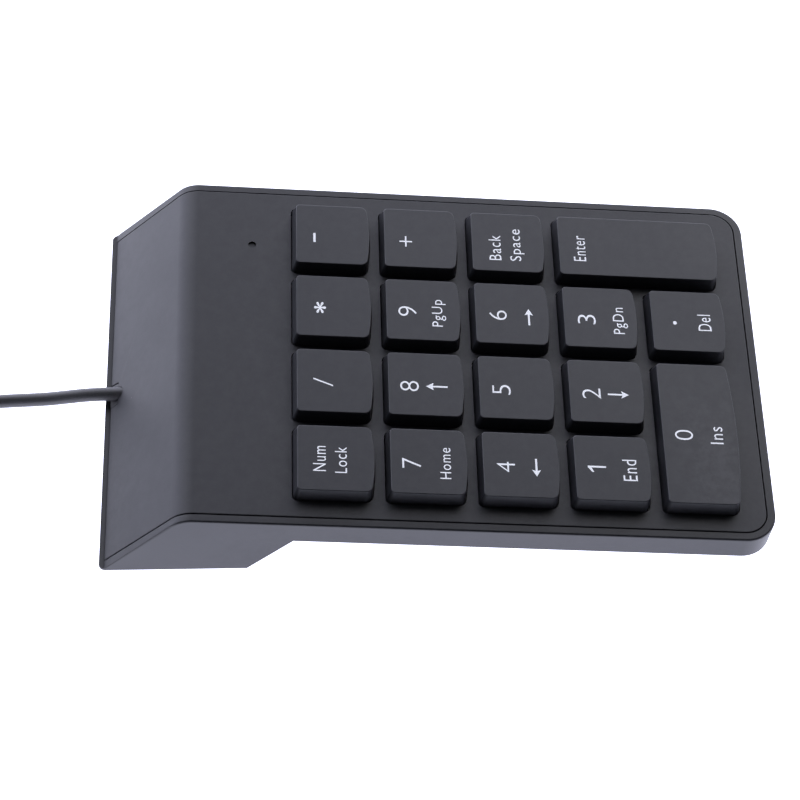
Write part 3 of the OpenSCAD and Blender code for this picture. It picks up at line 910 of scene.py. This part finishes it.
def plug_sleeve():
    """The folded steel shell with its square windows and seam."""
    half_x, half_z, sheet = 6, 2.25, 0.3
    shell = drawn("plug_sleeve", round_run(half_x, half_z, 0.5), 0, 12, arc_steps=4)
    inside = round_run(half_x - sheet, half_z - sheet, 0.3)
    cut(shell, drawn("inside", inside, 0.9, 13, arc_steps=4))
    for x in (-3.1, 3.1):
        cut(shell, drawn("window", box_run(x - 1.1, -4, x + 1.1, 4), 5.5, 7.5))
    cut(shell, drawn("seam", box_run(-0.06, -4, 0.06, 0), -1, 12.5))
    turned(shell, (-90, 0, 0))
    return smooth(moved(shell, (PLUG_AT[0], PLUG_AT[1] + GRIP_END, PLUG_AT[2])))


# ---- Materials ----

def new_group(name, inputs, *outputs):
    """An empty shader group, with its input and output nodes. Inputs are names with a value or None."""
    group = bpy.data.node_groups.new(name, "ShaderNodeTree")
    sockets = [("INPUT", *item) for item in inputs.items()] + [("OUTPUT", label, None) for label in outputs]
    for in_out, label, value in sockets:
        kind = "NodeSocket" + {"Vector": "Vector", "Colour": "Color"}.get(label, "Float")
        socket = group.interface.new_socket(label, in_out=in_out, socket_type=kind)
        if value is not None:
            socket.default_value = value
    return group, group.nodes.new("NodeGroupInput"), group.nodes.new("NodeGroupOutput")


def set_inputs(node, **values):
    """Plain values on a node's own sockets."""
    for name, value in values.items():
        node.inputs[name.replace("_", " ")].default_value = value


def new_node(tree, kind, vector=None, **values):
    """A node with its plain values, on a vector where it reads one."""
    node = tree.nodes.new("ShaderNode" + kind)
    set_inputs(node, **values)
    if vector is not None:
        tree.links.new(vector, node.inputs["Vector"])
    return node


def fed(tree, socket, value):
    """Links a socket to another one, or gives it a plain value."""
    if isinstance(value, (int, float, tuple)):
        socket.default_value = value
    else:
        tree.links.new(value, socket)


def noise(tree, vector, scale, detail=2.0, rough=0.5):
    return new_node(tree, "TexNoise", vector, Scale=scale, Detail=detail, Roughness=rough)


def ranged(tree, value, *limits):
    """Maps a value from one range to another. The limits are from low, from high, to low, to high."""
    node = new_node(tree, "MapRange", **dict(zip(("From Min", "From Max", "To Min", "To Max"), limits)))
    tree.links.new(value, node.inputs["Value"])
    return node.outputs["Result"]


def maths(tree, operation, a, b):
    """A sum, product or comparison of two numbers or sockets."""
    node = new_node(tree, "Math")
    node.operation = operation
    fed(tree, node.inputs[0], a)
    fed(tree, node.inputs[1], b)
    return node.outputs["Value"]


def mixed(tree, factor, a, b):
    """A blend of two colours. Inputs 6 and 7 and output 2 are the colour sockets of a Mix node."""
    node = new_node(tree, "Mix")
    node.data_type = "RGBA"
    fed(tree, node.inputs["Factor"], factor)
    fed(tree, node.inputs[6], a)
    fed(tree, node.inputs[7], b)
    return node.outputs[2]


def skin_group():
    """Moulded or drawn surface: broad tone drift, fine grain, and a few settled specks of dust."""
    inputs = {"Vector": None, "Colour": None, "Drift": 0.12, "Grain Scale": 5000.0, "Roughness": 0.5}
    inputs["Dust"] = 0.0
    group, source, sink = new_group("moulded_skin", inputs, "Colour", "Roughness", "Height")
    vector, links = source.outputs["Vector"], group.links
    broad = noise(group, vector, 60.0, 3.0).outputs["Fac"]
    grain = noise(group, vector, 5000.0, 2.0, 0.6)
    links.new(source.outputs["Grain Scale"], grain.inputs["Scale"])
    grain = grain.outputs["Fac"]
    tone = maths(group, "MULTIPLY", ranged(group, broad, 0.3, 0.7, -1.0, 1.0), source.outputs["Drift"])
    tone = maths(group, "ADD", tone, ranged(group, grain, 0.3, 0.7, 0.9, 1.1))
    scaled = new_node(group, "VectorMath")
    scaled.operation = "SCALE"
    links.new(source.outputs["Colour"], scaled.inputs[0])
    links.new(tone, scaled.inputs["Scale"])
    cells = new_node(group, "TexVoronoi", vector, Scale=210.0)
    apart = new_node(group, "SeparateColor")
    links.new(cells.outputs["Color"], apart.inputs["Color"])
    size = ranged(group, apart.outputs[1], 0.0, 1.0, 0.014, 0.045)
    spot = maths(group, "LESS_THAN", cells.outputs["Distance"], size)
    rare = maths(group, "LESS_THAN", apart.outputs[0], source.outputs["Dust"])
    speck = maths(group, "MULTIPLY", spot, rare)
    dusted = maths(group, "MULTIPLY", speck, 0.5)
    links.new(mixed(group, dusted, scaled.outputs[0], (0.6, 0.58, 0.56, 1)), sink.inputs["Colour"])
    shine = ranged(group, noise(group, vector, 25.0, 4.0).outputs["Fac"], 0.35, 0.65, -0.04, 0.04)
    rough = maths(group, "ADD", source.outputs["Roughness"], shine)
    rough = maths(group, "ADD", rough, maths(group, "MULTIPLY", speck, 0.3))
    links.new(rough, sink.inputs["Roughness"])
    links.new(grain, sink.inputs["Height"])
    return group


def edge_group():
    """Edge wear and painted sheen: a mask where the mesh is pointed, broken up by noise."""
    group, source, sink = new_group("edge_wear_and_sheen", {"Vector": None, "Amount": 0.3}, "Mask")
    geometry = new_node(group, "NewGeometry")
    sharp = ranged(group, geometry.outputs["Pointiness"], 0.52, 0.6, 0.0, 1.0)
    patches = noise(group, source.outputs["Vector"], 400.0, 4.0, 0.7).outputs["Fac"]
    patchy_spread = ranged(group, patches, 0.35, 0.65, 0.2, 1.0)
    mask = maths(group, "MULTIPLY", maths(group, "MULTIPLY", sharp, patchy_spread), source.outputs["Amount"])
    group.links.new(mask, sink.inputs["Mask"])
    return group


SKIN = skin_group()
EDGE = edge_group()


def new_material(name):
    """A node material, with its tree, its shader and the piece's own coordinates."""
    material = bpy.data.materials.new(name)
    material.use_nodes = True
    tree = material.node_tree
    coordinates = new_node(tree, "TexCoord")
    return material, tree, tree.nodes["Principled BSDF"], coordinates.outputs["Object"]


def coloured(tree, shader, tint, rough):
    """Feeds a colour and a roughness into a shader."""
    tree.links.new(tint, shader.inputs["Base Color"])
    tree.links.new(rough, shader.inputs["Roughness"])


def placed(tree, group, vector, **values):
    """A shader group in a material, with its own values."""
    node = new_node(tree, "Group")
    node.node_tree = group
    tree.links.new(vector, node.inputs["Vector"])
    set_inputs(node, **values)
    return node


def bumped(tree, shader, height, depth, strength=1.0):
    """Relief from a height, with its depth in millimetres."""
    bump = new_node(tree, "Bump", Strength=strength, Distance=depth * MM)
    tree.links.new(height, bump.inputs["Height"])
    tree.links.new(bump.outputs["Normal"], shader.inputs["Normal"])


def skinned(name, colour, rough, grain=5000.0, depth=0.01, drift=0.1, dust=0.0, wear_and_sheen=0.0,
            wear_and_sheen_tint=(0.2, 0.2, 0.21), **plain):
    """A surface made of the shared skin, with lighter edges where it has any, partly wear and partly a
    painted sheen. Plain values go on the shader.
    """
    material, tree, shader, vector = new_material(name)
    settings = {"Colour": (*colour, 1), "Drift": drift, "Grain Scale": grain, "Roughness": rough}
    skin = placed(tree, SKIN, vector, Dust=dust, **settings)
    tint = skin.outputs["Colour"]
    # Edge mask: lighter edges, partly real wear and partly a painted sheen.
    if wear_and_sheen:
        mask = placed(tree, EDGE, vector, Amount=wear_and_sheen).outputs["Mask"]
        tint = mixed(tree, mask, tint, (*wear_and_sheen_tint, 1))
    coloured(tree, shader, tint, skin.outputs["Roughness"])
    bumped(tree, shader, skin.outputs["Height"], depth)
    set_inputs(shader, **plain)
    return material


def brushed(name, colour, rough, along=(40.0, 900.0, 900.0)):
    """Rolled or drawn metal with fine lines along one way."""
    material, tree, shader, vector = new_material(name)
    stretch = new_node(tree, "Mapping", vector, Scale=along)
    lines = noise(tree, stretch.outputs["Vector"], 6.0, 4.0, 0.6).outputs["Fac"]
    shade = tuple(c * 0.72 for c in colour)
    tint = mixed(tree, ranged(tree, lines, 0.3, 0.7, 0.0, 1.0), (*shade, 1), (*colour, 1))
    coloured(tree, shader, tint, ranged(tree, lines, 0.3, 0.7, rough - 0.06, rough + 0.1))
    set_inputs(shader, Metallic=1.0)
    bumped(tree, shader, lines, 0.006, 0.6)
    return material


def board_lacquer():
    """Green solder mask over copper runs that show as lighter patches."""
    material, tree, shader, vector = new_material("board_lacquer")
    bricks = new_node(tree, "TexBrick", vector, Scale=420.0, Mortar_Size=0.05, Mortar_Smooth=0.1)
    wander = noise(tree, vector, 260.0, 1.0).outputs["Fac"]
    copper = ranged(tree, wander, 0.45, 0.55, 0.0, 1.0)
    runs = maths(tree, "MULTIPLY", copper, maths(tree, "SUBTRACT", 1.0, bricks.outputs["Fac"]))
    green = mixed(tree, runs, (0.012, 0.09, 0.035, 1), (0.03, 0.17, 0.06, 1))
    coloured(tree, shader, green, ranged(tree, wander, 0.3, 0.7, 0.25, 0.38))
    bumped(tree, shader, runs, 0.03)
    set_inputs(shader, Coat_Weight=0.4)
    return material


def contact_film(name, tint):
    """Clear-grey film with dark printed contacts and runs."""
    material, tree, shader, vector = new_material(name)
    waves = new_node(tree, "TexWave", vector, Scale=170.0, Distortion=1.88)
    run = maths(tree, "GREATER_THAN", waves.outputs["Fac"], 0.93)
    cloud = noise(tree, vector, 90.0).outputs["Fac"]
    inked = mixed(tree, run, (*tint, 1), (0.12, 0.12, 0.12, 1))
    coloured(tree, shader, inked, ranged(tree, cloud, 0.3, 0.7, 0.18, 0.3))
    return material


def wire_colours():
    """Four wires of four colours, one material each."""
    tints = {
        "red": (0.5, 0.02, 0.02), "white": (0.75, 0.74, 0.7),
        "green": (0.03, 0.3, 0.06), "black": (0.02, 0.02, 0.022),
    }
    return [skinned("wire_" + name, tint, 0.42, grain=3000.0, depth=0.005) for name, tint in tints.items()]


def shell_plastic(name, rough, dust):
    """The dark plastic of the cover and the base, lighter on its edges: partly wear, partly a painted sheen.
    """
    tint, wear_and_sheen_tint = (0.0125, 0.013, 0.0165), (0.09, 0.09, 0.095)
    return skinned(name, tint, rough, dust=dust, drift=0.06, wear_and_sheen=0.25, wear_and_sheen_tint=wear_and_sheen_tint)


def cap_plastic():
    """The keycaps' plastic, finer in its grain than the case."""
    # Lighter edge tint: partly wear, partly a painted sheen.
    tint, wear_and_sheen_tint = (0.0125, 0.0135, 0.0175), (0.1, 0.1, 0.108)
    return skinned("key_plastic", tint, 0.46, 6500.0, dust=0.06, drift=0.05, wear_and_sheen=0.3, wear_and_sheen_tint=wear_and_sheen_tint)


def legend_ink():
    """White ink with a slight light of its own, which keeps it bright on the dark keys."""
    ink = skinned("legend_ink", (0.9, 0.93, 0.97), 0.55, grain=7000.0, drift=0.05)
    shader = ink.node_tree.nodes["Principled BSDF"]
    set_inputs(shader, Emission_Color=(0.93, 0.95, 1, 1), Emission_Strength=0.2)
    return ink


def chip_ceramic():
    """The small brown parts on the board, with bright ends."""
    wear_and_sheen_tint = (0.6, 0.6, 0.58)
    return skinned("chip_ceramic", (0.32, 0.22, 0.13), 0.45, grain=2500.0, wear_and_sheen=0.5, wear_and_sheen_tint=wear_and_sheen_tint)


def label_film():
    """The blank grey label."""
    return skinned("label_film", (0.5, 0.5, 0.49), 0.35, grain=3000.0, depth=0.004, drift=0.04)


def led_lens():
    """The half-clear green body of the indicator."""
    return skinned("led_lens", (0.2, 0.42, 0.22), 0.2, 900.0, 0.004, Transmission_Weight=0.5, IOR=1.5)


# ---- Light and floor ----

def add_floor():
    """A pale matt floor, lit evenly from within so that it stays white round the keypad."""
    bpy.ops.mesh.primitive_plane_add(size=6)
    floor = bpy.context.object
    floor.name = "floor"
    material, tree, shader, vector = new_material("pale_floor")
    tone = ranged(tree, noise(tree, vector, 3.0).outputs["Fac"], 0.3, 0.7, 0.0, 1.0)
    pale = mixed(tree, tone, (0.93, 0.93, 0.935, 1), (0.95, 0.95, 0.95, 1))
    tree.links.new(pale, shader.inputs["Base Color"])
    set_inputs(shader, Roughness=0.9, Specular_IOR_Level=0.1)
    set_inputs(shader, Emission_Color=(0.93, 0.95, 1.15, 1), Emission_Strength=1.88)
    floor.data.materials.append(material)


def add_light(name, at, width, height, power):
    """A broad soft lamp that faces the keypad."""
    data = bpy.data.lights.new(name, "AREA")
    data.shape = "RECTANGLE"
    data.size, data.size_y = width, height
    data.energy = power
    light = bpy.data.objects.new(name, data)
    light.location = at
    light.rotation_euler = (Vector((0, 0.02, 0)) - light.location).to_track_quat("-Z", "Y").to_euler()
    bpy.context.scene.collection.objects.link(light)


def add_studio():
    """A dim room, brighter low down on the keypad's right, with two broad lamps on that side."""
    world = bpy.data.worlds.new("studio")
    bpy.context.scene.world = world
    world.use_nodes = True
    tree = world.node_tree
    coordinates = new_node(tree, "TexCoord")
    towards = new_node(tree, "VectorMath")
    towards.operation = "DOT_PRODUCT"
    towards.inputs[1].default_value = Vector((0.85, 0.25, -0.45)).normalized()
    tree.links.new(coordinates.outputs["Generated"], towards.inputs[0])
    bright = ranged(tree, towards.outputs["Value"], 0.0, 0.75, 0.0, 1.0)
    room = mixed(tree, bright, (0.03, 0.03, 0.034, 1), (3.5, 3.6, 4.45, 1))
    tree.links.new(room, tree.nodes["Background"].inputs["Color"])
    add_light("far_lamp", (0.62, 0.42, 0.72), 0.6, 0.6, 1.4)
    add_light("near_lamp", (0.6, -0.45, 0.55), 0.6, 0.5, 2.1)
    bpy.context.scene.view_settings.view_transform = "Standard"


# ---- Assembly ----

def for_sizes(make):
    """One master for each size of key, by its columns and rows."""
    return {size: make(*size) for size in CAP_SIZES}


def key_openings():
    """The openings in the plate, one round each key."""
    masters = for_sizes(lambda columns, rows: drawn("opening", key_run(columns, rows, 0.2), -3, 2))
    openings = []
    for name, column, row, columns, rows in KEYS:
        opening = copied(masters[columns, rows], "opening_" + name)
        openings.append(moved(opening, (*key_spot(column, row, columns, rows), 0)))
    thrown_away(*masters.values())
    return openings


def case_pieces():
    """The cover, the dark window behind its indicator hole, and the base."""
    cover = shell_plastic("cover_plastic", 0.5, 0.08)
    base = shell_plastic("base_plastic", 0.45, 0.03)
    finished(settle(cover_top(key_openings())), "case", cover, "cover_plastic", "top_cover")
    smoke = skinned("smoked_plastic", (0.008, 0.009, 0.013), 0.5, grain=4000.0)
    finished(settle(rod("led_window", LED_SPOT, 0.82, -1.1, -0.4)), "case", smoke, None)
    finished(settle(case_base()), "case", base, "base_plastic", "base_shell")


def key_pieces():
    """Each key's cap, its legend, and the dome that it squashes."""
    plastic = cap_plastic()
    ink = legend_ink()
    rubber = skinned("dome_rubber", (0.62, 0.62, 0.6), 0.6, grain=1500.0, drift=0.05)
    masters = for_sizes(lambda columns, rows: key_cap("cap", columns, rows))
    bubble = dome("bubble")
    for name, column, row, columns, rows in KEYS:
        x, y = key_spot(column, row, columns, rows)
        cap = settle(moved(copied(masters[columns, rows], "keycap_" + name), (x, y, 0)))
        finished(cap, "cap_" + name, plastic, "key_plastic", "key_" + name)
        marks = settle(moved(legend("legend_" + name, LEGENDS[name]), (x, y, 0)))
        finished(marks, "cap_" + name, ink, "key_plastic")
        soft = settle(moved(copied(bubble, "dome_" + name), (x, y, 0)))
        finished(soft, "case", rubber, "silicone")
        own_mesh(soft)
    thrown_away(*masters.values(), bubble)
    finished(settle(dome_pad()), "case", rubber, "silicone", "dome_sheet")


def lead_pieces():
    """The lead, its tie and its plug, all lying on the table."""
    pvc = skinned("cord_pvc", (0.085, 0.085, 0.09), 0.55, grain=2600.0, depth=0.012, dust=0.03)
    # The grip's lighter edges are partly wear and partly a painted sheen.
    grip = skinned("plug_pvc", (0.03, 0.03, 0.032), 0.5, grain=3200.0, depth=0.015, wear_and_sheen=0.3)
    tie = skinned("tie_plastic", (0.03, 0.03, 0.03), 0.4, grain=1800.0)
    steel = brushed("plug_steel", (0.62, 0.62, 0.6), 0.28, along=(900.0, 40.0, 900.0))
    lead = finished(add_lead(), "case", pvc, "cord_pvc", "usb_cord", "cord_coil")
    strap = finished(coil_tie(), "case", tie, "tie_plastic", "cord_tie")
    body = finished(plug_body(), "case", grip, "plug_pvc", "plug_grip")
    shell = finished(plug_sleeve(), "case", steel, "plug_steel", "plug_shell")


def foot_pieces():
    """Two feet under the front slab and two under the rear hump."""
    rubber = skinned("foot_rubber", (0.02, 0.02, 0.021), 0.75, grain=1600.0, depth=0.03, drift=0.15)
    front = joined([front_foot("front_foot", side) for side in (-1, 1)], "foot_front")
    rear = joined([rear_foot("rear_foot", side) for side in (-1, 1)], "foot_rear")
    finished(front, "case", rubber, "foot_rubber", "front_feet")
    finished(rear, "case", rubber, "foot_rubber", "rear_feet")


def inner_nodes():
    """Finishes for the sound CAD nodes inside the case, on the underside and in the plug."""
    nylon = skinned("connector_nylon", (0.72, 0.68, 0.56), 0.4, grain=2500.0)
    wire = brushed("spring_wire", (0.6, 0.6, 0.6), 0.25)
    zinc = skinned("screw_zinc", (0.42, 0.42, 0.43), 0.3, grain=1200.0, depth=0.01, Metallic=1.0)
    finishes = {
        "stabilizer_enter": wire,
        "stabilizer_zero": wire,
        "membrane_lower": contact_film("film_lower", (0.5, 0.56, 0.57)),
        "membrane_spacer": contact_film("film_spacer", (0.66, 0.7, 0.7)),
        "membrane_upper": contact_film("film_upper", (0.56, 0.62, 0.63)),
        "circuit_board": board_lacquer(),
        "controller_chip": skinned("epoxy", (0.015, 0.015, 0.016), 0.25, grain=700.0, depth=0.03),
        "board_parts": chip_ceramic(),
        "status_led": led_lens(),
        "clamp_bar": brushed("clamp_steel", (0.55, 0.55, 0.54), 0.35),
        "clamp_foam": skinned("clamp_foam", (0.07,) * 3, 0.95, grain=900.0, depth=0.2, drift=0.3),
        "board_screws": zinc,
        "case_screws": zinc,
        "board_connector": nylon,
        "wire_plug": nylon,
        "cable_anchor": skinned("sleeve_rubber", (0.03, 0.03, 0.032), 0.6, grain=1800.0),
        "rating_label": label_film(),
        "plug_tongue": skinned("tongue_plastic", (0.8, 0.8, 0.78), 0.4, grain=3000.0),
        "plug_contacts": brushed("contact_gold", (0.83, 0.6, 0.22), 0.2),
    }
    for node, material in finishes.items():
        dressed(NODES[node], material)


def inner_wires():
    """The four wires are one mesh with a quarter of its faces each."""
    wires = NODES["inner_wires"]
    tints = wire_colours()
    dressed(wires, *tints)
    for face in wires.data.polygons:
        face.material_index = face.index * len(tints) // len(wires.data.polygons)


add_camera()
lead_pieces()
case_pieces()
key_pieces()
foot_pieces()
inner_nodes()
inner_wires()
add_floor()
add_studio()

bpy.context.view_layer.update()
